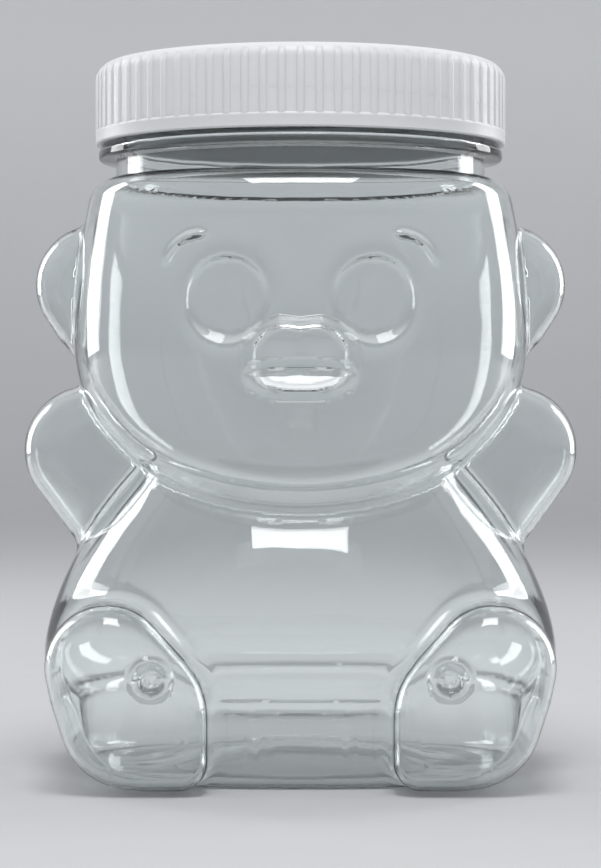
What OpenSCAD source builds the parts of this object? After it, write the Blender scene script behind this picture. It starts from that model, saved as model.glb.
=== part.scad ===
// Honey bear bottle: a blown clear bottle in the shape of a seated bear, with a
// wide ribbed screw lid and the foam disc that seals it. Front is -Y, up is +Z, and
// the origin is on the table under the middle of the bottle. Millimetres.

/* [Head] */
// Width of the head at its widest level
head_w = 95.4; // [91:0.2:100]
// Depth of the head from face to back
head_d = 95.4; // [91:0.5:98]
// Height of the head's widest level above the table
head_z = 90.4; // [86:0.2:98]
// Drop from the widest level to the chin
chin_drop = 35.9; // [33:0.1:38]
// Rise from the widest level to the top of the shoulder
crown_rise = 33.3; // [30:0.1:38]
// How much the side draws in by the top of the shoulder
crown_taper = 4.1; // [3:0.1:5]
// Radius of the rounded shoulder
shoulder_r = 4.4; // [3:0.1:6]
// Squareness of the head seen from above, where 2 is a plain oval
head_square = 2.6; // [2.2:0.1:3]
// Squareness of the jaw seen from the side
jaw_square = 7; // [5:0.5:9]

/* [Body] */
// Width of the belly at its widest level
belly_w = 108; // [104:0.5:114]
// Depth of the belly at its fullest level
belly_d = 99; // [94:0.5:104]
// Height of the belly's widest level
belly_z = 25; // [23:0.5:28]
// Radius of the turn under the belly
under_r = 10; // [8:0.5:12]
// Fullness of the flare from shoulders to belly, where 2 is a plain arc
flare = 1.55; // [1.4:0.05:1.8]
// Squareness of the body seen from above
body_square = 2.5; // [2.2:0.1:2.8]
// Width of the foot block under the belly
block_w = 94; // [88:0.5:98]
// Depth of the foot block under the belly
block_d = 90.6; // [86:0.5:93]
// Radius of the foot block's lower edge
block_r = 2.8; // [2:0.1:4]
// Radius of the hollow under the base
hollow_r = 33; // [28:0.5:36]
// Rise of the hollow under the base
hollow_rise = 3.6; // [2:0.1:6]

/* [Ears, arms and feet] */
// Radius of an ear's outline
ear_r = 12.7; // [11:0.1:14]
// Thickness of an ear
ear_t = 13; // [11:0.5:15]
// Radius of an arm's outline
arm_r = 13.6; // [12:0.1:15]
// Thickness of an arm
arm_t = 20; // [17:0.5:24]
// Reach of the soles in front of the belly
foot_reach = 10.5; // [8:0.5:13]
// Radius of the rounded edge round a sole
sole_edge = 6.5; // [5:0.1:8]
// Radius of the raised round pad on a sole
pad_r = 4.2; // [3:0.1:5]

/* [Face] */
// Distance of an eye from the middle of the face
eye_x = 14.6; // [13.5:0.1:16]
// Height of the eyes above the head's widest level
eye_up = 7.2; // [6:0.1:9]
// Outer radius of an eye's recess
eye_r = 9.3; // [8.6:0.1:10]
// Width of the sloping ring round an eye
eye_ring = 1.6; // [1.2:0.1:2.2]
// Depth of an eye's recess
eye_depth = 1.6; // [1:0.1:2]
// Half the width of the muzzle
muzzle_x = 12.9; // [11.5:0.1:13.5]
// Half the height of the muzzle
muzzle_h = 8.6; // [7.6:0.1:9.2]
// Reach of the muzzle in front of the face
muzzle_reach = 3.7; // [3:0.1:4.6]
// Further reach of the two humps of the nose
nose_reach = 1.2; // [0.6:0.1:1.6]
// Depth of the step from the upper lip back to the mouth
lip_depth = 2.6; // [1.6:0.1:2.8]
// Thickness of the raised brow lines
brow_t = 2.2; // [1.8:0.1:2.6]

/* [Neck] */
// Outer radius of the neck
neck_r = 39.1; // [37.5:0.1:39.6]
// Wall of the neck
neck_wall = 2; // [1.4:0.1:2.6]
// Length of bare neck below the ledge
neck_bare = 4.4; // [3:0.1:6]
// Reach of the ledge beyond the neck; the bottle is carried by it when it is filled
ledge_reach = 3.7; // [3:0.1:5]
// Thickness of the ledge
ledge_t = 2.4; // [1.8:0.1:3]
// Length of the neck above the ledge, which the lid covers
finish_h = 15.4; // [13:0.1:18]
// Wall of the blown body
wall = 0.8; // [0.6:0.05:1.1]

/* [Lid] */
// Wall of the lid, ribs included
lid_wall = 1.8; // [1.4:0.1:2.4]
// Gap between the lid's lower edge and the ledge
lid_gap = 1; // [0.5:0.1:2]
// Thickness of the lid's top
lid_top_t = 1.6; // [1.2:0.1:2]
// Gap between the lid's bore and the neck, which the thread fills
thread_gap = 2.6; // [2.2:0.1:2.8]
// Radius of the lid's upper edge
lid_edge = 3; // [2:0.1:4]
// Height of the smooth band at the lid's lower edge
band_h = 2.6; // [2:0.1:4]
// Number of grip ribs
rib_count = 72; // [48:2:96]
// Height of a grip rib
rib_h = 0.35; // [0.2:0.05:0.45]
// Thickness of the foam sealing disc
liner_t = 1.1; // [0.8:0.1:1.5]
// Gap round the edge of the foam disc
liner_gap = 0.4; // [0.2:0.1:0.8]

/* [Hidden] */

// Points round each section of the blown body
sides = 32;
// Facets round each of the rounded lobes
lobe_sides = 24;

clear_plastic = [0.86, 0.92, 0.95, 0.45];
white_plastic = [0.95, 0.95, 0.94];
foam_white = [0.9, 0.9, 0.87];

shoulder_z = head_z + crown_rise;
ledge_z = shoulder_z + neck_bare;
ledge_top_z = ledge_z + ledge_t;
rim_z = ledge_top_z + finish_h;
bore_r = neck_r - neck_wall;
lid_bottom_z = ledge_top_z + lid_gap;
liner_top_z = rim_z + liner_t;
lid_top_z = liner_top_z + lid_top_t;
ledge_r = neck_r + ledge_reach;
lid_bore_r = neck_r + thread_gap;
lid_r = lid_bore_r + lid_wall;
liner_r = lid_bore_r - liner_gap;

// The neck sinks this far into the shoulder, and the shoulder's opening is this
// much wider outside and narrower inside than the neck that stands on it
neck_sink = 0.45;
neck_lip = 0.35;

// The torso's crown hides this far below the head's widest level
torso_tuck = 5.4;
torso_rise = head_z - belly_z - torso_tuck;
torso_top = 0.72;
block_top_z = belly_z - 3;

// Each lobe is a list of [outward, up, radius] rounds in the front view
ear_lean = 2.36;
ear_x = head_w / 2 - 5.4;
ear_z = head_z + 9.6;
ear_rounds = [
  [ear_x + ear_lean * 0.557, ear_z + ear_lean * 0.83, ear_r],
  [ear_x - ear_lean * 0.557, ear_z - ear_lean * 0.83, ear_r]
];
arm_x = belly_w / 2 - 8.8;
arm_z = (head_z + belly_z) / 2 + 9.3;
arm_drop = 17.8;
arm_in = 13.1;
arm_rounds = [
  [arm_x, arm_z, arm_r],
  [arm_x - arm_in, arm_z - arm_drop, arm_r]
];
foot_x = belly_w / 2 - 21.3;
foot_rounds = [
  [foot_x + 5, 24.9, 12.2],
  [foot_x, 15.6, 14.5],
  [foot_x - 9, 6.4, 5.6]
];
foot_front = belly_d / 2 + foot_reach;
foot_back = 12;
pad_x = foot_x - 3.7;
pad_z = 22.8;
pad_h = 0.7;

// The neck's axis lies this far behind the middle of the overall depth
axis_y = (foot_front + pad_h - belly_d / 2) / 2;

face_y = head_d / 2;
eye_z = head_z + eye_up;
muzzle_z = head_z - 5.2;
brow_x = eye_x + 5.2;
brow_z = eye_z + 5.3;
brow_r = 7.2;

function signed_power(v, p) = sign(v) * pow(abs(v), p);

// One level section: half-width, half-depth, squareness and height
function section(rx, ry, square, z) = [
  for (i = [0:sides - 1])
    let (a = 360 * i / sides)
    [rx * signed_power(cos(a), 2 / square), ry * signed_power(sin(a), 2 / square), z]
];

// Closed solid through level sections, listed from the lowest to the highest
module loft(rings) {
  n = len(rings[0]);
  top = len(rings) - 1;
  polyhedron(
    points = [for (ring = rings) each ring],
    faces = concat(
      [[for (i = [0:n - 1]) i]],
      [for (k = [0:top - 1], i = [0:n - 1])
        let (a = k * n + i, b = k * n + (i + 1) % n)
        each [[a, a + n, b + n], [a, b + n, b]]],
      [[for (i = [n - 1:-1:0]) top * n + i]]
    )
  );
}

// The side of the head draws in towards the shoulder along a gentle curve
function crown(half, up) = half - crown_taper * pow(up / crown_rise, 2);

function head_lower(inset) = [
  for (a = [80, 68, 56, 44, 32, 20, 9])
    let (u = sin(a))
    section(
      (head_w / 2 - inset) * sqrt(1 - u * u),
      (head_d / 2 - inset) * pow(1 - pow(u, jaw_square), 1 / jaw_square),
      head_square,
      head_z - (chin_drop - inset) * u
    )
];

function head_upper(inset) =
  let (straight = crown_rise - shoulder_r)
  [
    for (k = [0:4])
      let (up = straight * k / 4)
      section(crown(head_w / 2, up) - inset, crown(head_d / 2, up) - inset, head_square, head_z + up)
  ];

// The shoulder rounds over to a flat top that always leaves room for the neck
function past_neck(half, inset) = max(half, neck_r + neck_lip + wall - inset);

function shoulder(inset) =
  let (up = crown_rise - shoulder_r, r = shoulder_r - inset)
  [
    for (a = [25, 50, 70, 90])
      let (draw = inset + r * (1 - cos(a)))
      section(
        past_neck(crown(head_w / 2, up) - draw, inset),
        past_neck(crown(head_d / 2, up) - draw, inset),
        head_square, head_z + up + r * sin(a))
  ];

module head(inset) {
  mouth = inset > 0 ? bore_r - neck_lip : neck_r + neck_lip;
  loft(concat(
    head_lower(inset),
    head_upper(inset),
    shoulder(inset),
    [section(mouth, mouth, 2, shoulder_z - inset)],
    inset > 0 ? [section(mouth, mouth, 2, shoulder_z + 1)] : []
  ));
}

// Straight flaring sides that round over into the belly and turn in under it
module torso(inset) {
  r = under_r - inset;
  loft(concat(
    [for (a = [-80, -60, -40, -20, 0])
      let (draw = inset + r * (1 - cos(a)))
      section(belly_w / 2 - draw, belly_d / 2 - draw, body_square, belly_z + r * sin(a))],
    [for (k = [1:8])
      let (t = torso_top * k / 8, s = pow(1 - pow(t, flare), 1 / flare))
      section((belly_w / 2 - inset) * s, (belly_d / 2 - inset) * s, body_square,
        belly_z + (torso_rise - inset) * t)]
  ));
}

module foot_block(inset) {
  r = block_r;
  loft(concat(
    [for (a = [0, 30, 60, 90])
      let (draw = r - r * sin(a))
      section(block_w / 2 - inset - draw, block_d / 2 - inset - draw, body_square,
        inset + r - r * cos(a))],
    [section(block_w / 2 - inset, block_d / 2 - inset, body_square, block_top_z)]
  ));
}

// The hollow under the base, or with an inset the skin of plastic above it
module base_hollow(inset) {
  r = hollow_r + inset;
  loft(concat(
    [section(r, r, 2, -1)],
    [for (a = [0, 25, 50, 75])
      section(r * cos(a), r * cos(a), 2, inset + hollow_rise * sin(a) * sin(a))]
  ));
}

// Outline round several [outward, up, radius] rounds, drawn in by a margin: each
// direction takes its point from the round that reaches furthest that way
function reach(c, a) = c[0] * sin(a) + c[1] * cos(a) + c[2];

function furthest(rounds, a) =
  let (best = max([for (c = rounds) reach(c, a)]))
  [for (c = rounds) if (reach(c, a) > best - 1e-9) c][0];

function outline(rounds, margin, y) = [
  for (i = [0:lobe_sides - 1])
    let (a = 360 * (i + 0.5) / lobe_sides, c = furthest(rounds, a), r = c[2] - margin)
    [c[0] + r * sin(a), y, c[1] + r * cos(a)]
];

// A flat-faced lobe from front to back along Y, with both faces rounded at the edge
module lobe(rounds, front, back, edge, inset) {
  e = edge - inset;
  loft(concat(
    [for (a = [90, 60, 30, 0])
      outline(rounds, inset + e * (1 - cos(a)), -front + inset + e * (1 - sin(a)))],
    [for (a = [0, 30, 60, 90])
      outline(rounds, inset + e * (1 - cos(a)), -back - inset - e * (1 - sin(a)))]
  ));
}

module ear(inset) {
  lobe(ear_rounds, ear_t / 2, -ear_t / 2, ear_t / 2 - 0.8, inset);
}

module arm(inset) {
  lobe(arm_rounds, arm_t / 2, -arm_t / 2, arm_t / 2 - 1.5, inset);
}

module foot(inset) {
  difference() {
    lobe(foot_rounds, foot_front, foot_back, sole_edge, inset);
    translate([foot_x, -foot_front / 2, inset - 5])
      cube([80, 2 * foot_front, 10], center = true);
  }
}

// Raised round pad on the inner upper part of the sole
module sole_pad() {
  translate([pad_x, -foot_front - pad_h, pad_z])
    rotate([-90, 0, 0])
    cylinder(r1 = pad_r - pad_h, r2 = pad_r, h = 2 * pad_h, $fn = lobe_sides);
}

// Depth of the face's surface beside the middle, and the way it turns there
function face_depth(x) =
  face_y * pow(1 - pow(2 * abs(x) / head_w, head_square), 1 / head_square);
function face_turn(x) = atan((face_depth(x - 1) - face_depth(x + 1)) / 2);

module on_face(x, z) {
  up = max(z - head_z, 0);
  sunk = crown_taper * pow(up / crown_rise, 2);
  translate([x, sunk - face_depth(x), z])
    rotate([90, 0, face_turn(x)])
    children();
}

// Eases from 0 to 1
function ease(t) = let (u = min(max(t, 0), 1)) u * u * (3 - 2 * u);

// Rise of the muzzle above the face at one point of the front view: a soft oval mound,
// the nose's two humps on top, and the step from the upper lip back to the mouth,
// from where the chin comes forward again
function muzzle_rise(x, z, inset) =
  let (
    u = abs(x) / (muzzle_x - inset),
    v = (z - muzzle_z) / (muzzle_h - inset),
    mound = ease((1 - pow(pow(u, 2.3) + pow(abs(v), 2.3), 1 / 2.3)) / 0.35),
    nose = ease((5.4 - inset - norm([abs(x) - 3.4, 1.25 * (z - muzzle_z - 4.4)])) / 4),
    under = muzzle_z - z - 0.012 * x * x,
    step = ease((under + inset) / (1.9 + inset)),
    chin = 1 - min(max((under - 2 - inset / 2) / 4.6, 0), 1),
    cheek = ease((muzzle_x - 1.7 + inset - abs(x)) / 2.8)
  )
  muzzle_reach * mound + nose_reach * nose - lip_depth * step * chin * cheek;

// The muzzle in level sections; its edges and back lie inside the face
module muzzle(inset) {
  loft([
    for (k = [-1, -0.9, -0.75, -0.55, -0.38, -0.27, -0.18, -0.08, 0.03, 0.2, 0.4, 0.58, 0.75, 0.9, 1])
      let (
        z = muzzle_z + (muzzle_h - inset) * k,
        half = (muzzle_x - inset) * pow(max(1 - pow(abs(k), 2.3), 0.002), 1 / 2.3)
      )
      concat(
        [for (i = [-6:6])
          let (x = half * sin(15 * i))
          [x, inset + 0.3 - face_depth(x) - muzzle_rise(x, z, inset), z]],
        [[half, 6 - face_y, z], [-half, 6 - face_y, z]]
      )
  ]);
}

// Raised curved line above the outer side of an eye
module brow() {
  on_face(brow_x, brow_z)
    rotate([0, 0, 15])
    rotate_extrude(angle = 80, $fn = 48)
    translate([brow_r, -0.5])
    circle(d = brow_t, $fn = 8);
}

// The flat round eye and the ring that slopes down to it
module eye(inset) {
  on_face(eye_x, eye_z)
    translate([0, 0, -eye_depth - inset])
    cylinder(r1 = eye_r - eye_ring + inset, r2 = eye_r + inset + eye_ring,
      h = 2 * eye_depth, $fn = 32);
}

module both_sides() {
  children();
  mirror([1, 0, 0])
    children();
}

module blown_form(inset) {
  difference() {
    union() {
      difference() {
        head(inset);
        both_sides()
          eye(inset);
      }
      torso(inset);
      foot_block(inset);
      muzzle(inset);
      both_sides() {
        ear(inset);
        arm(inset);
        foot(inset);
      }
    }
    base_hollow(inset);
  }
}

// The thin skin: the outer form less the same form drawn in by the wall
module blown_skin() {
  difference() {
    union() {
      blown_form(0);
      both_sides() {
        brow();
        sole_pad();
      }
    }
    blown_form(wall);
  }
}

// Bare neck, carrying ledge and the plain wall that the lid covers
module neck() {
  tip = 0.7;
  rim_r = 0.6;
  rotate_extrude($fn = 128)
    polygon([
      [bore_r, shoulder_z - neck_sink],
      [neck_r, shoulder_z - neck_sink],
      [neck_r, ledge_z],
      [ledge_r - tip, ledge_z + 0.3],
      [ledge_r, ledge_z + tip],
      [ledge_r, ledge_top_z - tip / 2],
      [ledge_r - tip / 2, ledge_top_z],
      [neck_r, ledge_top_z],
      [neck_r, rim_z - rim_r],
      [neck_r - rim_r, rim_z],
      [bore_r, rim_z]
    ]);
}

// Sets the origin on the base plane, under the middle of the overall depth
module placed() {
  translate([0, axis_y, 0])
    children();
}

module bottle() {
  color(clear_plastic)
  placed()
  union() {
    // The blown skin is one closed mesh of exactly this overall height
    resize([0, 0, shoulder_z])
      blown_skin();
    neck();
  }
}

// Outline of the lid turned about its axis, with a rounded upper edge
module lid_cap(r) {
  rotate_extrude($fn = 128)
    union() {
      translate([0, lid_bottom_z])
        square([r, lid_top_z - lid_edge - lid_bottom_z]);
      translate([0, lid_bottom_z])
        square([r - lid_edge, lid_top_z - lid_bottom_z]);
      intersection() {
        translate([r - lid_edge, lid_top_z - lid_edge])
          circle(r = lid_edge, $fn = 64);
        translate([r - lid_edge, lid_top_z - lid_edge])
          square(lid_edge);
      }
    }
}

// Each rib crosses half of its pitch and rises in three steps to a flat crest,
// which stays just inside the smooth band
crest_r = lid_r - 0.06;
function rib_radius(step) = crest_r - rib_h * [1, 0.35, 0, 0, 0.35, 1][step];

module ribs() {
  pitch = 360 / rib_count;
  translate([0, 0, lid_bottom_z + band_h / 2])
    linear_extrude(lid_top_z - lid_edge - lid_bottom_z - band_h / 2)
    polygon([
      for (i = [0:rib_count - 1], step = [0:5])
        let (a = pitch * (i + 0.1 + step * 0.13))
        rib_radius(step) * [cos(a), sin(a)]
    ]);
}

module lid() {
  color(white_plastic)
  placed()
  difference() {
    union() {
      lid_cap(crest_r - rib_h - 0.05);
      ribs();
      translate([0, 0, lid_bottom_z])
        cylinder(r = lid_r, h = band_h, $fn = 128);
    }
    translate([0, 0, lid_bottom_z - 1])
      cylinder(r = lid_bore_r, h = liner_top_z - lid_bottom_z + 1, $fn = 128);
  }
}

module liner() {
  color(foam_white)
  placed()
  translate([0, 0, rim_z])
    cylinder(r = liner_r, h = liner_t, $fn = 128);
}

bottle();
lid();
liner();
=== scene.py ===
"""Honey bear bottle: a clear blown bottle with a ribbed white screw lid and a foam disc."""
import math

import bpy
import numpy as np
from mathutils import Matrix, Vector


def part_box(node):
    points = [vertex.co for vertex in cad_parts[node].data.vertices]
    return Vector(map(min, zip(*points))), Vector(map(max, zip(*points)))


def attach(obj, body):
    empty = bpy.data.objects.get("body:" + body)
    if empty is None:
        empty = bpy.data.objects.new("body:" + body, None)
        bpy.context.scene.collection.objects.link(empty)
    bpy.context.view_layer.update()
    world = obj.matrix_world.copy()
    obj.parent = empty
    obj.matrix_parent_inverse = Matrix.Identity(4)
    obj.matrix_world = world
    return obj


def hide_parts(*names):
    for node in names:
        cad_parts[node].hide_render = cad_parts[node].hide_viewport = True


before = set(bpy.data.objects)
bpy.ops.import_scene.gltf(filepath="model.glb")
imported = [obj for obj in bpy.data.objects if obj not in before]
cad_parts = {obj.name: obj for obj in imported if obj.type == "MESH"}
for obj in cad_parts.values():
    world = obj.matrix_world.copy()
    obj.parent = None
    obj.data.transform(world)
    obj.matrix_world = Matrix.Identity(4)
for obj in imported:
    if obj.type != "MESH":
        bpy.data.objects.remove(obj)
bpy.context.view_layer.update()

MM = 0.001
lid_low, lid_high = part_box("lid")
# The axis that the neck and the lid share, behind the middle of the overall depth
AXIS_Y = (lid_low.y + lid_high.y) / 2 / MM

# Sizes in millimetres, with y measured from the axis and the bear facing -y
LID_BOTTOM_Z = round(lid_low.z / MM, 2)
LID_TOP_Z = round(lid_high.z / MM, 2)
LID_R = round((lid_high.x - lid_low.x) / 2 / MM, 2)
LID_WALL = 1.8
LID_BORE_R = LID_R - LID_WALL
RIM_Z = round(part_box("bottle")[1].z / MM, 2)
NECK_R = 39.1
NECK_WALL = 2
BORE_R = NECK_R - NECK_WALL
SHOULDER_Z = 123.7
# The neck sinks this far into the shoulder
NECK_SINK = 0.45
WALL = 0.8
# The wall is nowhere thinner than this, also where the inside is the softer form
LEAST_WALL = 0.42
THREAD_PITCH = 5.08


# Forms are distance fields: negative within a form, zero on its surface


def soft_union(a, b, reach):
    """Joins two distance fields with a fillet about as wide as reach."""
    share = np.clip(0.5 + 0.5 * (b - a) / reach, 0, 1)
    return b + (a - b) * share - reach * share * (1 - share)


def soft_cut(a, b, reach):
    """Takes b away from a and rounds the edge that this leaves."""
    return -soft_union(-a, b, reach)


def rounded_edge(a, b, radius):
    """What lies inside both fields, with the edge between them rounded."""
    inner = np.minimum(np.maximum(a, b), -radius)
    return inner + np.hypot(np.maximum(a + radius, 0), np.maximum(b + radius, 0))


def step(value, low, high):
    """0 below low, 1 above high and smooth between them."""
    t = np.clip((value - low) / (high - low), 0, 1)
    return t * t * (3 - 2 * t)


def squircle(x, y, half_width, half_depth, square):
    """1 on a squared oval, less inside it. A square of 2 is a plain oval."""
    return (np.abs(x / half_width) ** square + np.abs(y / half_depth) ** square) ** (1 / square)


def evened(field, x, y, z):
    """Turns a field that is zero on a surface into distances near that surface."""
    h = 0.05
    least_slope = 0.35
    value = field(x, y, z)
    slope = np.sqrt(
        (field(x + h, y, z) - value) ** 2
        + (field(x, y + h, z) - value) ** 2
        + (field(x, y, z + h) - value) ** 2
    ) / h
    return value / np.maximum(slope, least_slope)


# The blown body


HEAD_HALF = 47.7
HEAD_Z = 90.4
CHIN_DROP = 35.9
CROWN_TAPER = 4.1
SHOULDER_ROUND = 4.4
HEAD_SQUARE = 2.6
JAW_SQUARE = 7


def head_sides(x, y, z):
    """The sides of the head: boxy above, drawn in under the chin along an ellipse."""
    up = np.maximum(z - HEAD_Z, 0) / (SHOULDER_Z - HEAD_Z)
    drop = np.maximum(HEAD_Z - z, 0) / CHIN_DROP
    a, b = np.abs(x) / HEAD_HALF, np.abs(y) / HEAD_HALF
    front_view = (a * a + drop * drop) ** (HEAD_SQUARE / 2)
    side_view = (b ** JAW_SQUARE + drop ** JAW_SQUARE) ** (HEAD_SQUARE / JAW_SQUARE)
    around = np.maximum(front_view + side_view - drop ** HEAD_SQUARE, 0) ** (1 / HEAD_SQUARE)
    return (around - 1) * HEAD_HALF + CROWN_TAPER * up * up


def head(x, y, z):
    return rounded_edge(evened(head_sides, x, y, z), z - SHOULDER_Z, SHOULDER_ROUND)


BODY_SQUARE = 2.5
BELLY_HALF_W = 54
BELLY_HALF_D = 49.5
BELLY_Z = 25
# Radius of the turn under the belly
UNDER_R = 10
# The flaring sides would meet this far above the belly
FLARE_H = 60
# Fullness of the flare, where 2 is a plain arc
FLARE = 1.55


def torso_sides(x, y, z):
    """Sides that flare from the shoulders to the belly and turn in under it."""
    around = squircle(x, y, BELLY_HALF_W, BELLY_HALF_D, BODY_SQUARE)
    rise = np.maximum(z - BELLY_Z, 0) / FLARE_H
    above = ((around ** FLARE + rise ** FLARE) ** (1 / FLARE) - 1) * BELLY_HALF_W
    outward = np.maximum(around * BELLY_HALF_W - (BELLY_HALF_W - UNDER_R), 0)
    turned_under = np.hypot(outward, np.minimum(z - BELLY_Z, 0)) - UNDER_R
    return np.where(z > BELLY_Z, above, turned_under)


def torso(x, y, z):
    return evened(torso_sides, x, y, z)


BLOCK_HALF_W = 47
BLOCK_HALF_D = 45.3
BLOCK_TOP_Z = 22
BLOCK_EDGE = 2.8


def foot_block(x, y, z):
    """The block that the belly stands on, between and behind the feet."""
    side = squircle(x, y, BLOCK_HALF_W, BLOCK_HALF_D, BODY_SQUARE) * BLOCK_HALF_W - BLOCK_HALF_W
    return np.maximum(rounded_edge(side, -z, BLOCK_EDGE), z - BLOCK_TOP_Z)


HOLLOW_R = 33
HOLLOW_RISE = 3.6


def base_hollow(x, y, z):
    """The shallow round hollow under the base."""
    slope_share = 0.97
    return (z - HOLLOW_RISE * (1 - (x * x + y * y) / HOLLOW_R ** 2)) * slope_share


def slab(outline, y, front, back, edge):
    """A flat-faced lobe between two depths, with both faces rounded at the edge."""
    middle, half = (back - front) / 2, (back + front) / 2
    return rounded_edge(outline, np.abs(y - middle) - half, edge)


def around_pill(x, z, start, end, radius):
    """Distance in the front view from two rounds of one radius and what lies between."""
    run = (end[0] - start[0], end[1] - start[1])
    along = ((x - start[0]) * run[0] + (z - start[1]) * run[1]) / (run[0] ** 2 + run[1] ** 2)
    along = np.clip(along, 0, 1)
    return np.hypot(x - start[0] - along * run[0], z - start[1] - along * run[1]) - radius


# The upper and the lower round of an ear and of an arm, each as (outward, up)
EAR_ROUNDS = ((43.5, 102.0), (40.9, 98.0))
EAR_R = 12.7
EAR_HALF_T = 6.5
EAR_EDGE = 5.7
ARM_ROUNDS = ((44.95, 67.0), (31.85, 49.2))
ARM_R = 13.6
ARM_HALF_T = 10
ARM_EDGE = 8.5


def ear(x, y, z):
    return slab(around_pill(x, z, *EAR_ROUNDS, EAR_R), y, EAR_HALF_T, EAR_HALF_T, EAR_EDGE)


def arm(x, y, z):
    return slab(around_pill(x, z, *ARM_ROUNDS, ARM_R), y, ARM_HALF_T, ARM_HALF_T, ARM_EDGE)


# The rounds of a foot in the front view, each as (outward, up, radius)
SOLE_ROUNDS = ((37.7, 24.9, 12.2), (32.7, 15.6, 14.5), (23.7, 6.4, 5.6))
SOLE_Y = 60
HEEL_Y = 12
SOLE_EDGE = 6.5


def sole_outline(x, z):
    """Distance from the taut line round the three rounds of a foot."""
    directions = 60
    reach = np.full(np.shape(x), -1e9)
    for turn in range(directions):
        a = math.tau * turn / directions
        u, v = math.cos(a), math.sin(a)
        furthest = max(cx * u + cz * v + r for cx, cz, r in SOLE_ROUNDS)
        reach = np.maximum(reach, x * u + z * v - furthest)
    return reach


def foot(x, y, z):
    return slab(sole_outline(x, z), y, SOLE_Y, -HEEL_Y, SOLE_EDGE)


# The face


EYE_X = 14.6
EYE_Z = 97.6
# How far the face stands in front of the neck's axis at the eyes
EYE_Y = 46.6
EYE_TURN = math.radians(9.6)
EYE_DEPTH = 1.6
EYE_FLAT_R = 7.2
# How much the ring round an eye widens for each millimetre outwards
RING_FLARE = 1.3
# The distance from the ring's slope is this share of the difference in radius
RING_SHARE = 0.61


def eye_place(x, y, z):
    """A point's place from an eye: sideways, out of the face, and round its middle."""
    dx, dy = x - EYE_X, -y - EYE_Y
    out = dx * math.sin(EYE_TURN) + dy * math.cos(EYE_TURN)
    side = dx * math.cos(EYE_TURN) - dy * math.sin(EYE_TURN)
    return side, out, np.hypot(side, z - EYE_Z)


def eye_hollow(x, y, z, depth, rounding):
    """The flat round eye, turned the way the face is, and the ring that slopes to it."""
    _, out, radius = eye_place(x, y, z)
    floor = -(out + depth)
    ring = (radius - EYE_FLAT_R - RING_FLARE * (out + depth)) * RING_SHARE
    return -soft_union(-floor, -ring, rounding)


def edges_of_eyes(points):
    """Moves the points beside an eye's two edges onto them, so that the ring is crisp."""
    face_y, reach = -36, 0.4
    moved = points.copy()
    x, y, z = np.abs(points[:, 0]), points[:, 1], points[:, 2]
    side, out, radius = eye_place(x, y, z)
    above_floor = out + EYE_DEPTH
    wanted = np.where(above_floor < 0.7, EYE_FLAT_R, EYE_FLAT_R + RING_FLARE * above_floor)
    near = (y < face_y) & (np.abs(radius - wanted) < reach) & (radius > 1)
    near &= (above_floor < 0.35) | (above_floor > 0.85)
    scale = np.where(near, wanted / np.maximum(radius, 1), 1)
    shift = (scale - 1) * side
    moved[:, 0] += np.sign(points[:, 0]) * shift * math.cos(EYE_TURN)
    moved[:, 1] += shift * math.sin(EYE_TURN)
    moved[:, 2] += (scale - 1) * (z - EYE_Z)
    return moved


MUZZLE_Z = 85.1
MUZZLE_HALF_W = 12.7
MUZZLE_HALF_H = 8.5
MUZZLE_SQUARE = 2.8
MUZZLE_REACH = 3.5
# The two humps that the muzzle's upper edge has over the nostrils
NOSTRIL_X = 4.2
NOSTRIL_W = 2.6
NOSTRIL_H = 0.55
NOSE_X = 3.6
NOSE_Z = 89.4
NOSE_R = 6.6
NOSE_REACH = 1.0
LIP_Z = 85.3
LIP_SAG = 0.012
LIP_DEPTH = 2.7
MOUTH_Z = 83.2
CHIN_H = 4.8
CHEEK_X = 11.9


def muzzle_rise(x, z, rounding):
    """The muzzle's soft oval mound, the nose's two humps and the step under the lip."""
    nostrils = NOSTRIL_H * np.exp(-((x - NOSTRIL_X) / NOSTRIL_W) ** 2) * step(z, 86, 91)
    oval = squircle(x, z - MUZZLE_Z - nostrils, MUZZLE_HALF_W, MUZZLE_HALF_H, MUZZLE_SQUARE)
    mound = step(1 - oval, 0, 0.27 + 0.12 * rounding)
    nose = step(NOSE_R - np.hypot(x - NOSE_X, 1.1 * (z - NOSE_Z)), 0, 6.2)
    lip = step(LIP_Z - z - LIP_SAG * x * x + 0.5 * rounding, 0, 1.9 + rounding)
    past_mouth = (MOUTH_Z - z + 0.5 * rounding) / CHIN_H
    soft = 0.05 + 0.1 * rounding
    chin = 1 - np.minimum(0.5 * (past_mouth + np.hypot(past_mouth, soft)), 1)
    cheek = step(CHEEK_X - x, 0, 2.8)
    mouth = (LIP_DEPTH - 0.5 * rounding) * lip * chin * cheek
    return MUZZLE_REACH * mound + (NOSE_REACH - 0.4 * rounding) * nose - mouth


BROW_X = 19.8
BROW_Z = 102.9
BROW_R = 7.2
BROW_W = 0.8
BROW_H = 0.65


def brow_rise(x, z):
    """The thin raised arc above the outer side of an eye."""
    out, up = x - BROW_X, z - BROW_Z
    ridge = np.exp(-((np.hypot(out, up) - BROW_R) / BROW_W) ** 2)
    angle = np.degrees(np.arctan2(up, out))
    # The arc rises from 4 to 26 degrees and fades from 84 to 106
    return BROW_H * ridge * step(angle, 4, 26) * step(-angle, -106, -84)


def face_rise(x, y, z, rounding):
    """How far the muzzle and the brows stand out of the face."""
    on_front = step(-y, 20, 30)
    return on_front * (muzzle_rise(x, z, rounding) + (1 - rounding) * brow_rise(x, z))


PAD_X = 29.0
PAD_Z = 23.0
PAD_R = 4.9
PAD_H = 0.68
DIMPLE_X = 28.8
DIMPLE_Z = 23.2
DIMPLE_R = 3.1
DIMPLE_DEPTH = 1.7


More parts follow.
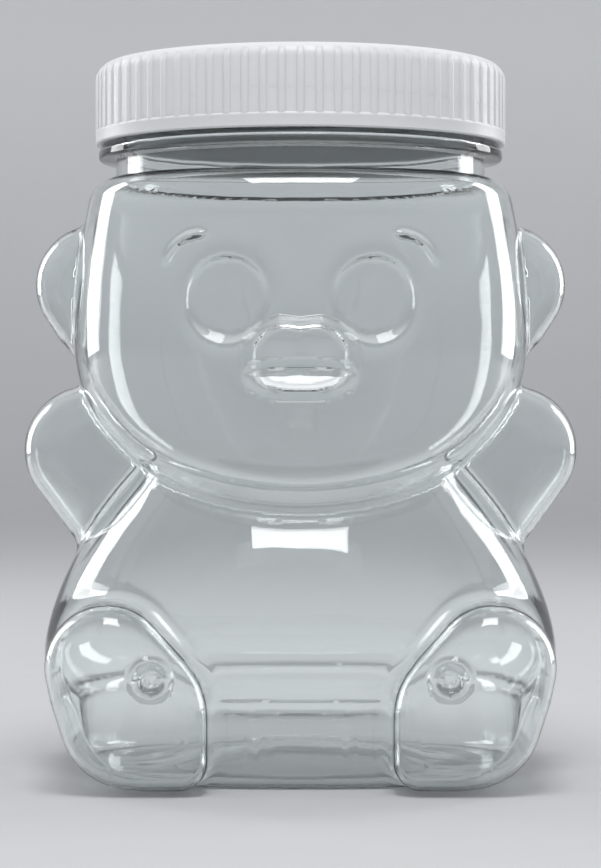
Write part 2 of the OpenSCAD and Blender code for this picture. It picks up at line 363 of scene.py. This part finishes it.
def sole_rise(x, y, z, rounding):
    """The low round pad on each sole, with a dimple that leaves a ring round it."""
    from_pad = PAD_R - np.hypot(x - PAD_X, z - PAD_Z)
    pad = (PAD_H - 0.3 * rounding) * step(from_pad, 0, 1.4 + rounding)
    from_dimple = DIMPLE_R - np.hypot(x - DIMPLE_X, z - DIMPLE_Z)
    dimple = (DIMPLE_DEPTH - rounding) * step(from_dimple, 0, 2.0 + 0.5 * rounding)
    on_front = step(-y, 40, 50)
    return on_front * (pad - dimple)


# Widths of the fillets between the parts of the blown form
EYE_CREASE = 0.35
EAR_CREASE = 2.2
BLOCK_CREASE = 1.2
ARM_CREASE = 2.6
FOOT_CREASE = 2.8
CHIN_CREASE = 2.6
BASE_EDGE = 0.6
HOLLOW_EDGE = 0.8


def bear_form(x, y, z, rounding=0.0):
    """Distance from the outside of the blown form, negative within it. With a rounding
    of 1 its creases are filled and its reliefs fainter, as on the inside of the skin."""
    x = np.abs(x)
    wider = 1.6 * rounding
    eye = eye_hollow(x, y, z, EYE_DEPTH - 0.75 * rounding, EYE_CREASE + 2.4 * rounding)
    face = soft_cut(head(x, y, z), eye, EYE_CREASE + 2.6 * rounding)
    face = face - face_rise(x, y, z, rounding)
    face = soft_union(face, ear(x, y, z), EAR_CREASE + wider)
    body = soft_union(torso(x, y, z), foot_block(x, y, z), BLOCK_CREASE + 2.4 * rounding)
    body = soft_union(body, arm(x, y, z), ARM_CREASE + wider)
    body = soft_union(body, foot(x, y, z) - sole_rise(x, y, z, rounding), FOOT_CREASE + wider)
    whole = rounded_edge(soft_union(face, body, CHIN_CREASE + wider), -z, BASE_EDGE)
    return soft_cut(whole, base_hollow(x, y, z), HOLLOW_EDGE)


def cavity(x, y, z):
    """The space inside the skin, with the bore that opens it upwards."""
    drawn_in = -bear_form(x, y, z, 1) - WALL
    inside = -soft_union(drawn_in, -bear_form(x, y, z) - LEAST_WALL, 0.6)
    # A little wider than the neck's bore, which the neck ring then fills to size
    bore = np.maximum(np.hypot(x, y) - (BORE_R + 0.25), np.abs(z - 124) - 6)
    return soft_union(inside, bore, 0.5)


# Meshes


def spaced(*stretches):
    """Grid lines through stretches of (end, spacing), after a first start value."""
    lines = [stretches[0]]
    for end, spacing in stretches[1:]:
        count = max(1, round((end - lines[-1]) / spacing))
        lines += list(np.linspace(lines[-1], end, count + 1)[1:])
    return np.array(lines, float)


def net_over(field, xs, ys, zs):
    """Quads over the zero surface of a field that is the same on both sides of x = 0."""
    half = xs[len(xs) // 2:]
    values = field(half[:, None, None], ys[None, :, None], zs[None, None, :])
    values = np.broadcast_to(values, (len(half), len(ys), len(zs)))
    values = np.concatenate([values[:0:-1], values], axis=0)
    grid = (xs, ys, zs)
    cells = tuple(n - 1 for n in values.shape)
    size = math.prod(cells)
    sums, counts = np.zeros((size, 3)), np.zeros(size)
    quads = []
    for axis in range(3):
        u, v = (axis + 1) % 3, (axis + 2) % 3
        low = [slice(None)] * 3
        high = [slice(None)] * 3
        low[axis], high[axis] = slice(0, -1), slice(1, None)
        a, b = values[tuple(low)], values[tuple(high)]
        at = np.array(np.nonzero((a < 0) != (b < 0)))
        first, second = a[tuple(at)], b[tuple(at)]
        share = first / (first - second)
        points = np.stack([grid[k][at[k]] for k in range(3)], axis=1)
        points[:, axis] += share * (grid[axis][at[axis] + 1] - grid[axis][at[axis]])
        corner = []
        for du, dv in ((-1, -1), (0, -1), (0, 0), (-1, 0)):
            cell = at.copy()
            cell[u] += du
            cell[v] += dv
            flat = np.ravel_multi_index(cell, cells)
            corner.append(flat)
            counts += np.bincount(flat, minlength=size)
            for k in range(3):
                sums[:, k] += np.bincount(flat, weights=points[:, k], minlength=size)
        corner = np.stack(corner, axis=1)
        quads.append(np.where((first < 0)[:, None], corner, corner[:, ::-1]))
    used = np.nonzero(counts)[0]
    number = np.full(size, -1)
    number[used] = np.arange(len(used))
    return sums[used] / counts[used][:, None], number[np.concatenate(quads)]


def slope_of(field, points):
    """The direction in which a field grows fastest at each point, and how fast."""
    h = 0.02
    x, y, z = points.T
    return np.stack([
        field(x + h, y, z) - field(x - h, y, z),
        field(x, y + h, z) - field(x, y - h, z),
        field(x, y, z + h) - field(x, y, z - h),
    ], axis=1) / (2 * h)


def drawn_to(field, points, rounds=2):
    """Moves points onto the zero surface of a field."""
    for _ in range(rounds):
        value = field(*points.T)
        slope = slope_of(field, points)
        length = np.maximum((slope ** 2).sum(1), 0.1)
        points = points - np.clip(value / length, -1, 1)[:, None] * slope
    return points


def relaxed(points, quads, field, rounds=3):
    """Evens out the quads and sets them back on the surface."""
    ends = np.concatenate([quads[:, [k, (k + 1) % 4]] for k in range(4)])
    count = np.bincount(ends[:, 0], minlength=len(points))
    for _ in range(rounds):
        total = np.zeros_like(points)
        np.add.at(total, ends[:, 0], points[ends[:, 1]])
        points = 0.5 * points + 0.5 * total / count[:, None]
        points = drawn_to(field, points, 1)
    return points


def new_mesh(name, points, faces):
    """A mesh object from points in millimetres, set on the axis of the neck."""
    data = bpy.data.meshes.new(name)
    places = (np.asarray(points, float) + (0, AXIS_Y, 0)) * MM
    data.from_pydata(places.tolist(), [], [list(map(int, f)) for f in faces])
    data.update()
    made = bpy.data.objects.new(name, data)
    bpy.context.scene.collection.objects.link(made)
    return made


def turned(name, profile, segments):
    """A closed ring or disc turned from a profile of (radius, height) round the axis."""
    points, faces, rings = [], [], []
    for radius, height in profile:
        if radius == 0:
            rings.append([len(points)] * segments)
            points.append((0, 0, height))
            continue
        rings.append(list(range(len(points), len(points) + segments)))
        for i in range(segments):
            a = math.tau * i / segments
            points.append((radius * math.cos(a), radius * math.sin(a), height))
    is_ring = profile[0][0] > 0
    for k in range(len(rings) if is_ring else len(rings) - 1):
        low, high = rings[k], rings[(k + 1) % len(rings)]
        for i in range(segments):
            j = (i + 1) % segments
            face = [low[i], low[j], high[j], high[i]]
            # At the axis two corners are one point, which the face holds once
            face = [p for n, p in enumerate(face) if p not in face[:n]]
            if len(face) > 2:
                faces.append(face)
    return new_mesh(name, points, faces)


def rounded_corner(radius, height, size, start, steps=6):
    """Points of a quarter round about (radius, height), from an angle in degrees."""
    return [
        (radius + size * math.cos(math.radians(start + 90 * k / steps)),
         height + size * math.sin(math.radians(start + 90 * k / steps)))
        for k in range(steps + 1)
    ]


def combined(base, tools):
    """Joins solids to a base solid, or cuts them from it, and makes the base a plain mesh."""
    for operation, tool in tools:
        change = base.modifiers.new("join", "BOOLEAN")
        change.operation = operation
        change.solver = "EXACT"
        change.object = tool
    shape = base.evaluated_get(bpy.context.evaluated_depsgraph_get())
    mesh = bpy.data.meshes.new_from_object(shape)
    base.modifiers.clear()
    base.data = mesh
    for _, tool in tools:
        bpy.data.objects.remove(tool, do_unlink=True)
    return base


def places_of(piece):
    """The points of a mesh in millimetres from the axis of the neck."""
    places = np.empty(len(piece.data.vertices) * 3)
    piece.data.vertices.foreach_get("co", places)
    return places.reshape(-1, 3) / MM - (0, AXIS_Y, 0)


def thinned(piece, field, share):
    """Keeps a share of the faces, fewest where the form is flat, and sets them on it."""
    change = piece.modifiers.new("thin", "DECIMATE")
    change.ratio = share
    combined(piece, [])
    places = (drawn_to(field, places_of(piece)) + (0, AXIS_Y, 0)) * MM
    piece.data.vertices.foreach_set("co", places.ravel())
    piece.data.update()
    return piece


def smooth(piece, degrees):
    """Smooth shading that keeps the edges sharper than an angle."""
    piece.data.shade_smooth()
    piece.data.set_sharp_from_angle(angle=math.radians(degrees))


# Materials


def material(name):
    made = bpy.data.materials.new(name)
    made.use_nodes = True
    nodes, links = made.node_tree.nodes, made.node_tree.links
    return made, nodes, links, nodes["Principled BSDF"]


def node(nodes, kind, **values):
    """A node with values on its inputs, whose names are written with _ for a space."""
    made = nodes.new(kind)
    for name, value in values.items():
        made.inputs[name.replace("_", " ")].default_value = value
    return made


def by_place(nodes, links, kind, output, **values):
    """What a node makes of the place on the piece, so that it stays fixed to the piece."""
    made = node(nodes, kind, **values)
    links.new(nodes.new("ShaderNodeTexCoord").outputs["Object"], made.inputs["Vector"])
    return made.outputs[output]


def range_of(nodes, links, source, low, high, start=0.0, end=1.0):
    """Maps a value from start..end to low..high."""
    made = node(nodes, "ShaderNodeMapRange", From_Min=start, From_Max=end, To_Min=low, To_Max=high)
    links.new(source, made.inputs["Value"])
    return made.outputs["Result"]


def tinted(nodes, links, shader, source, first, second):
    """Colours a shader between two tints by a value."""
    tint = nodes.new("ShaderNodeMix")
    tint.data_type = "RGBA"
    tint.inputs["A"].default_value = (*first, 1)
    tint.inputs["B"].default_value = (*second, 1)
    links.new(source, tint.inputs["Factor"])
    links.new(tint.outputs["Result"], shader.inputs["Base Color"])


def roughened(nodes, links, shader, height, strength, distance):
    """Raises a shader's surface a little by a value."""
    bump = node(nodes, "ShaderNodeBump", Strength=strength, Distance=distance)
    links.new(height, bump.inputs["Height"])
    links.new(bump.outputs["Normal"], shader.inputs["Normal"])


def clear_plastic():
    """Clear blown plastic: thin, glossy and a little uneven, as the mould leaves it."""
    made, nodes, links, shader = material("clear_plastic")
    shader.inputs["Base Color"].default_value = (0.96, 0.985, 0.985, 1)
    shader.inputs["Transmission Weight"].default_value = 1
    shader.inputs["IOR"].default_value = 1.5
    waves = by_place(nodes, links, "ShaderNodeTexNoise", "Fac", Scale=42, Detail=2, Roughness=0.4)
    haze = by_place(nodes, links, "ShaderNodeTexNoise", "Fac", Scale=320, Detail=3, Roughness=0.6)
    links.new(range_of(nodes, links, haze, 0.005, 0.05, 0.35, 0.75), shader.inputs["Roughness"])
    roughened(nodes, links, shader, waves, 0.25, 0.0012)
    return made


def white_plastic():
    """White moulded plastic of the lid, satin and slightly see-through at thin edges."""
    made, nodes, links, shader = material("white_plastic")
    grain = by_place(nodes, links, "ShaderNodeTexNoise", "Fac", Scale=900, Detail=3, Roughness=0.6)
    cloud = by_place(nodes, links, "ShaderNodeTexNoise", "Fac", Scale=35, Detail=2, Roughness=0.5)
    tinted(nodes, links, shader, cloud, (0.80, 0.81, 0.82), (0.86, 0.865, 0.86))
    links.new(range_of(nodes, links, grain, 0.3, 0.46, 0.3, 0.7), shader.inputs["Roughness"])
    shader.inputs["Subsurface Weight"].default_value = 0.25
    shader.inputs["Subsurface Radius"].default_value = (1, 1, 1)
    shader.inputs["Subsurface Scale"].default_value = 0.002
    roughened(nodes, links, shader, grain, 0.12, 0.0003)
    return made


def foam():
    """Fine white foam of the sealing disc."""
    made, nodes, links, shader = material("foam")
    cells = by_place(nodes, links, "ShaderNodeTexVoronoi", "Distance", Scale=1600)
    tinted(nodes, links, shader, cells, (0.82, 0.82, 0.79), (0.9, 0.9, 0.88))
    links.new(range_of(nodes, links, cells, 0.7, 0.95), shader.inputs["Roughness"])
    roughened(nodes, links, shader, cells, 0.3, 0.0003)
    return made


def studio_paint():
    """Pale paint for the floor and the wall that it curves up into. It is painted lighter the
    higher it is on the wall: painted light for the upper wall, which the lamps light less.
    """
    made, nodes, links, shader = material("studio_paint")
    grain = by_place(nodes, links, "ShaderNodeTexNoise", "Fac", Scale=60, Detail=4, Roughness=0.5)
    # Painted light: the tint grows lighter with height up the wall, where the lamps give less
    # light. The noise grain only varies the tone a little.
    height = by_place(nodes, links, "ShaderNodeSeparateXYZ", "Z")
    grain_and_painted_light = nodes.new("ShaderNodeMath")
    grain_and_painted_light.operation = "MULTIPLY_ADD"
    grain_and_painted_light.inputs[1].default_value = 0.06
    links.new(grain, grain_and_painted_light.inputs[0])
    links.new(range_of(nodes, links, height, 0.1, 1, 0.0, 0.5), grain_and_painted_light.inputs[2])
    tinted(nodes, links, shader, grain_and_painted_light.outputs["Value"], (0.56, 0.565, 0.57), (0.86, 0.865, 0.87))
    shader.inputs["Roughness"].default_value = 0.8
    shader.inputs["Specular IOR Level"].default_value = 0.2
    return made


def dressed(piece, finish, body):
    """Gives a piece its finish and the body that it rides on."""
    piece.data.materials.clear()
    piece.data.materials.append(finish)
    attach(piece, body)


# Geometry trees


def new_tree(name, **sizes):
    """An empty geometry tree with named inputs of a kind each."""
    tree = bpy.data.node_groups.new(name, "GeometryNodeTree")
    tree.interface.new_socket("Geometry", in_out="OUTPUT", socket_type="NodeSocketGeometry")
    for label, kind in sizes.items():
        label = label.replace("_", " ")
        tree.interface.new_socket(label, in_out="INPUT", socket_type="NodeSocket" + kind)
    return tree, tree.nodes, tree.links, tree.nodes.new("NodeGroupInput").outputs


def end_tree(tree, geometry, finish):
    """Makes what a tree has built one plain mesh of one material."""
    nodes, links = tree.nodes, tree.links
    whole = nodes.new("GeometryNodeRealizeInstances")
    coat = nodes.new("GeometryNodeSetMaterial")
    coat.inputs["Material"].default_value = finish
    links.new(geometry, whole.inputs["Geometry"])
    links.new(whole.outputs["Geometry"], coat.inputs["Geometry"])
    links.new(coat.outputs["Geometry"], nodes.new("NodeGroupOutput").inputs["Geometry"])
    return tree


def thread_tree(name, finish):
    """Geometry nodes that sweep a round ridge along a rising spiral, tapered at its ends."""
    tree, nodes, links, sizes = new_tree(
        name, Turns="Float", Radius="Float", Rise="Float", Start_Height="Float", Half_Width="Float"
    )
    spiral = node(nodes, "GeometryNodeCurveSpiral", Resolution=96)
    links.new(sizes["Turns"], spiral.inputs["Rotations"])
    links.new(sizes["Radius"], spiral.inputs["Start Radius"])
    links.new(sizes["Radius"], spiral.inputs["End Radius"])
    links.new(sizes["Rise"], spiral.inputs["Height"])
    along = nodes.new("GeometryNodeSplineParameter")
    taper = nodes.new("ShaderNodeFloatCurve")
    curve = taper.mapping.curves[0]
    curve.points[0].location = (0, 0.05)
    curve.points[1].location = (1, 0.05)
    for place in ((0.06, 1), (0.94, 1)):
        curve.points.new(*place)
    taper.mapping.update()
    links.new(along.outputs["Factor"], taper.inputs["Value"])
    thickness = nodes.new("GeometryNodeSetCurveRadius")
    links.new(spiral.outputs["Curve"], thickness.inputs["Curve"])
    links.new(taper.outputs["Value"], thickness.inputs["Radius"])
    ring = node(nodes, "GeometryNodeCurvePrimitiveCircle", Resolution=10)
    links.new(sizes["Half Width"], ring.inputs["Radius"])
    sweep = node(nodes, "GeometryNodeCurveToMesh", Fill_Caps=True)
    links.new(thickness.outputs["Curve"], sweep.inputs["Curve"])
    links.new(ring.outputs["Curve"], sweep.inputs["Profile Curve"])
    lift = node(nodes, "ShaderNodeCombineXYZ", Y=AXIS_Y * MM)
    links.new(sizes["Start Height"], lift.inputs["Z"])
    move = nodes.new("GeometryNodeTransform")
    links.new(sweep.outputs["Mesh"], move.inputs["Geometry"])
    links.new(lift.outputs["Vector"], move.inputs["Translation"])
    return end_tree(tree, move.outputs["Geometry"], finish)


def rib_tree(name, rib, finish):
    """Geometry nodes that stand copies of one rib round a circle."""
    tree, nodes, links, sizes = new_tree(name, Count="Int", Radius="Float")
    circle = nodes.new("GeometryNodeMeshCircle")
    links.new(sizes["Count"], circle.inputs["Vertices"])
    links.new(sizes["Radius"], circle.inputs["Radius"])
    source = node(nodes, "GeometryNodeObjectInfo", Object=rib)
    turn = nodes.new("FunctionNodeAlignRotationToVector")
    turn.axis = "X"
    turn.pivot_axis = "Z"
    links.new(nodes.new("GeometryNodeInputPosition").outputs["Position"], turn.inputs["Vector"])
    copies = nodes.new("GeometryNodeInstanceOnPoints")
    links.new(circle.outputs["Mesh"], copies.inputs["Points"])
    links.new(source.outputs["Geometry"], copies.inputs["Instance"])
    links.new(turn.outputs["Rotation"], copies.inputs["Rotation"])
    move = node(nodes, "GeometryNodeTransform", Translation=(0, AXIS_Y * MM, 0))
    links.new(copies.outputs["Instances"], move.inputs["Geometry"])
    return end_tree(tree, move.outputs["Geometry"], finish)


def made_by(tree, name, **sizes):
    """Runs a geometry tree once and keeps the result as a plain mesh."""
    holder = bpy.data.objects.new(name, bpy.data.meshes.new(name))
    bpy.context.scene.collection.objects.link(holder)
    change = holder.modifiers.new("build", "NODES")
    change.node_group = tree
    for socket in tree.interface.items_tree:
        if socket.in_out == "INPUT":
            change[socket.identifier] = sizes[socket.name.replace(" ", "_")]
    return combined(holder, [])


def build_thread(name, finish, body, turns, radius, start_z, half_width):
    """A thread ridge on the neck or in the lid."""
    thread = made_by(
        thread_tree(name + "_tree", finish), name, Turns=turns, Radius=radius * MM,
        Rise=turns * THREAD_PITCH * MM, Start_Height=start_z * MM, Half_Width=half_width * MM
    )
    smooth(thread, 60)
    dressed(thread, finish, body)


# The bottle


LEDGE_R = 42.8
LEDGE_BOTTOM_Z = 128.15
LEDGE_TOP_Z = 130.5
LEDGE_TIP_R = 0.7


def blown_skin(name):
    """The outside of the bear's thin skin, and the space inside it, as two closed forms.
    The grid is finest where the face, the creases and the soles are."""
    xs = spaced(0, (35, 0.72), (60, 1.3))
    xs = np.concatenate([-xs[:0:-1], xs])
    ys = spaced(-62.5, (-38, 0.9), (52, 1.5))
    zs = spaced(-1.6, (6, 0.9), (17, 1.25), (29, 0.72), (46, 1.25), (64, 0.85), (76, 1.1),
                (110, 0.72), (131.5, 1.0))
    points, quads = net_over(bear_form, xs, ys, zs)
    points = edges_of_eyes(relaxed(points, quads, bear_form))
    outside = new_mesh(name, drawn_to(bear_form, points), quads)
    points, quads = net_over(cavity, xs, ys, zs)
    inside = new_mesh(name + "_cavity", relaxed(points, quads, cavity), quads)
    return thinned(outside, bear_form, 0.64), thinned(inside, cavity, 0.5)


def neck_ring():
    """The neck as it is moulded, with the ledge that the bottle is carried by."""
    tip_r = LEDGE_R - LEDGE_TIP_R
    return turned("neck_ring", [
        (BORE_R, SHOULDER_Z - NECK_SINK),
        (NECK_R, SHOULDER_Z - NECK_SINK),
        (NECK_R, LEDGE_BOTTOM_Z - 0.25),
        *rounded_corner(tip_r, LEDGE_BOTTOM_Z + LEDGE_TIP_R, LEDGE_TIP_R, -90),
        *rounded_corner(tip_r, LEDGE_TOP_Z - LEDGE_TIP_R, LEDGE_TIP_R, 0),
        (NECK_R + 0.2, LEDGE_TOP_Z),
        (NECK_R, LEDGE_TOP_Z + 0.2),
        *rounded_corner(NECK_R - 0.6, RIM_Z - 0.6, 0.6, 0),
        (BORE_R + 0.3, RIM_Z),
        (BORE_R, RIM_Z - 0.3),
    ], 192)


def even_shading(skin):
    """Takes the shading of the blown faces from the form itself, so that reflections in
    them show no trace of the mesh. The turned neck keeps its own."""
    on_surface, same_way = 0.02, 0.93
    mesh = skin.data
    places = places_of(skin)
    corners = np.empty(len(mesh.loops), int)
    mesh.loops.foreach_get("vertex_index", corners)
    shading = np.empty(len(mesh.loops) * 3)
    mesh.corner_normals.foreach_get("vector", shading)
    shading = shading.reshape(-1, 3)
    for field, sign in ((bear_form, 1), (cavity, -1)):
        on_it = np.abs(field(*places.T)) < on_surface
        turned_to = np.zeros_like(places)
        slope = slope_of(field, places[on_it])
        turned_to[on_it] = sign * slope / np.linalg.norm(slope, axis=1)[:, None]
        wanted = turned_to[corners]
        near = (wanted * shading).sum(1) > same_way
        shading[near] = wanted[near]
    mesh.normals_split_custom_set(shading.tolist())


def build_bottle(finish):
    outside, inside = blown_skin("bottle_skin")
    skin = combined(outside, [("DIFFERENCE", inside), ("UNION", neck_ring())])
    smooth(skin, 40)
    even_shading(skin)
    dressed(skin, finish, "bottle")
    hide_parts("bottle")
    build_thread(
        "neck_thread", finish, "bottle",
        turns=1.5, radius=NECK_R + 0.1, start_z=134.6, half_width=1.1
    )


# The lid


LID_TOP_T = 1.6
LID_EDGE = 3
BAND_TOP_Z = LID_BOTTOM_Z + 2.6
# The lid's wall between two ribs
RIB_FLOOR_R = LID_R - 0.42
RIB_COUNT = 72
RIB_W = 1.95
RIB_H = 0.4


def lid_shell():
    """The cup of the lid, with the smooth band at its lower edge."""
    band_r = LID_R - 0.05
    ceiling_z = LID_TOP_Z - LID_TOP_T
    return turned("lid_shell", [
        (0, ceiling_z),
        (LID_BORE_R - 0.8, ceiling_z),
        (LID_BORE_R, ceiling_z - 0.8),
        (LID_BORE_R, LID_BOTTOM_Z + 0.4),
        (LID_BORE_R + 0.4, LID_BOTTOM_Z),
        (LID_R - 0.3, LID_BOTTOM_Z),
        (band_r, LID_BOTTOM_Z + 0.3),
        (band_r, BAND_TOP_Z - 0.5),
        (LID_R, BAND_TOP_Z - 0.3),
        (LID_R, BAND_TOP_Z),
        (LID_R - 0.12, BAND_TOP_Z + 0.2),
        (RIB_FLOOR_R, BAND_TOP_Z + 0.35),
        *rounded_corner(RIB_FLOOR_R - LID_EDGE, LID_TOP_Z - LID_EDGE, LID_EDGE, 0, 10),
        (0, LID_TOP_Z),
    ], 216)


def lid_rib():
    """One rib: a low rounded bar that fades out over the lid's upper round."""
    sunk, fade, across = 0.02, 1.9, 6
    heights = [BAND_TOP_Z + 0.1, BAND_TOP_Z + 5.4, LID_TOP_Z - 3.2, LID_TOP_Z - 2.4,
               LID_TOP_Z - 1.7, LID_TOP_Z - 1.2]
    points, faces = [], []
    for z in heights:
        over = max(z - (LID_TOP_Z - LID_EDGE), 0)
        floor = RIB_FLOOR_R - LID_EDGE + math.sqrt(LID_EDGE ** 2 - over * over)
        crest = RIB_H * max(0.0, 1 - over / fade)
        for k in range(across + 1):
            t = 2 * k / across - 1
            out = crest * math.sqrt(1 - t * t) if abs(t) < 1 else -0.25
            points.append((floor - LID_R + out - sunk, t * RIB_W / 2, z))
    row = across + 1
    for k in range(len(heights) - 1):
        for i in range(across):
            a = k * row + i
            faces.append((a, a + 1, a + row + 1, a + row))
        faces.append((k * row + across, k * row, (k + 1) * row, (k + 1) * row + across))
    faces.append(tuple(range(across, -1, -1)))
    faces.append(tuple(range(len(points) - row, len(points))))
    made = bpy.data.meshes.new("lid_rib")
    made.from_pydata([(x * MM, y * MM, z * MM) for x, y, z in points], [], faces)
    made.update()
    return bpy.data.objects.new("lid_rib", made)


def build_lid(finish):
    shell = lid_shell()
    smooth(shell, 35)
    dressed(shell, finish, "lid")
    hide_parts("lid")
    rib = lid_rib()
    tree = rib_tree("lid_ribs_tree", rib, finish)
    ribs = made_by(tree, "lid_ribs", Count=RIB_COUNT, Radius=LID_R * MM)
    bpy.data.objects.remove(rib, do_unlink=True)
    smooth(ribs, 50)
    dressed(ribs, finish, "lid")
    build_thread(
        "lid_thread", finish, "lid",
        turns=1.3, radius=LID_BORE_R + 0.25, start_z=132.9, half_width=1.2
    )


FOAM_T = 1.1
FOAM_GAP = 0.4


def build_liner(finish):
    r, low, high = LID_BORE_R - FOAM_GAP, RIM_Z, RIM_Z + FOAM_T
    edge = 0.25
    disc = turned("foam_disc", [
        (0, low), (r - edge, low), (r, low + edge), (r, high - edge), (r - edge, high), (0, high),
    ], 128)
    smooth(disc, 50)
    dressed(disc, finish, "liner")
    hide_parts("liner")


# The studio, in metres


FLOOR_R = 1.8
WALL_CURVE_R = 1.1
STUDIO_WALL_TOP = 1.7


def build_floor(finish):
    """A round floor that curves up into a low wall, so that every view has the same ground."""
    profile = [(0.4, 0), (1, 0), (FLOOR_R, 0)]
    for a in np.linspace(0, math.pi / 2, 16)[1:]:
        profile.append((FLOOR_R + WALL_CURVE_R * math.sin(a), WALL_CURVE_R * (1 - math.cos(a))))
    profile.append((FLOOR_R + WALL_CURVE_R, STUDIO_WALL_TOP))
    count = 96
    points, faces = [(0, 0, 0)], []
    for radius, height in profile:
        for i in range(count):
            a = math.tau * i / count
            points.append((radius * math.cos(a), radius * math.sin(a), height))
    for i in range(count):
        j = (i + 1) % count
        faces.append((0, 1 + i, 1 + j))
        for k in range(len(profile) - 1):
            low, high = 1 + k * count, 1 + (k + 1) * count
            faces.append((low + i, high + i, high + j, low + j))
    data = bpy.data.meshes.new("studio_floor")
    data.from_pydata(points, [], faces)
    data.shade_smooth()
    floor = bpy.data.objects.new("studio_floor", data)
    bpy.context.scene.collection.objects.link(floor)
    data.materials.append(finish)


def softbox(name, place, aim, width, height, power):
    """A rectangular lamp that faces a point."""
    lamp = bpy.data.lights.new(name, "AREA")
    lamp.shape = "RECTANGLE"
    lamp.size, lamp.size_y = width, height
    lamp.energy = power
    made = bpy.data.objects.new(name, lamp)
    made.location = place
    made.rotation_mode = "QUATERNION"
    made.rotation_quaternion = (Vector(place) - Vector(aim)).to_track_quat("Z", "Y")
    bpy.context.scene.collection.objects.link(made)


def build_studio():
    build_floor(studio_paint())
    softbox("front_top_softbox", (0, -0.44, 0.98), (0, 0, 0.075), 0.36, 0.46, 4.2)
    for name, side in (("left_softbox", -0.8), ("right_softbox", 0.8)):
        softbox(name, (side, 0.57, 0.43), (0, 0, 0.43), 0.3, 0.8, 3.2)
    world = bpy.data.worlds.new("studio_world")
    world.use_nodes = True
    world.node_tree.nodes["Background"].inputs["Color"].default_value = (0.95, 0.97, 1, 1)
    world.node_tree.nodes["Background"].inputs["Strength"].default_value = 0.68
    bpy.context.scene.world = world


CAMERA_DISTANCE = 0.635
CAMERA_Z = 0.0704
LENS_MM = 123.8


def build_camera():
    """Level, in front of the bear and halfway up it, as in the photograph."""
    lens = bpy.data.cameras.new("photo_camera")
    lens.lens = LENS_MM
    lens.sensor_width = 36
    made = bpy.data.objects.new("photo_camera", lens)
    made.location = (0, AXIS_Y * MM - CAMERA_DISTANCE, CAMERA_Z)
    made.rotation_euler = (math.pi / 2, 0, 0)
    bpy.context.scene.collection.objects.link(made)
    bpy.context.scene.camera = made


build_camera()
build_bottle(clear_plastic())
build_lid(white_plastic())
build_liner(foam())
build_studio()
bpy.context.scene.view_settings.view_transform = "Standard"
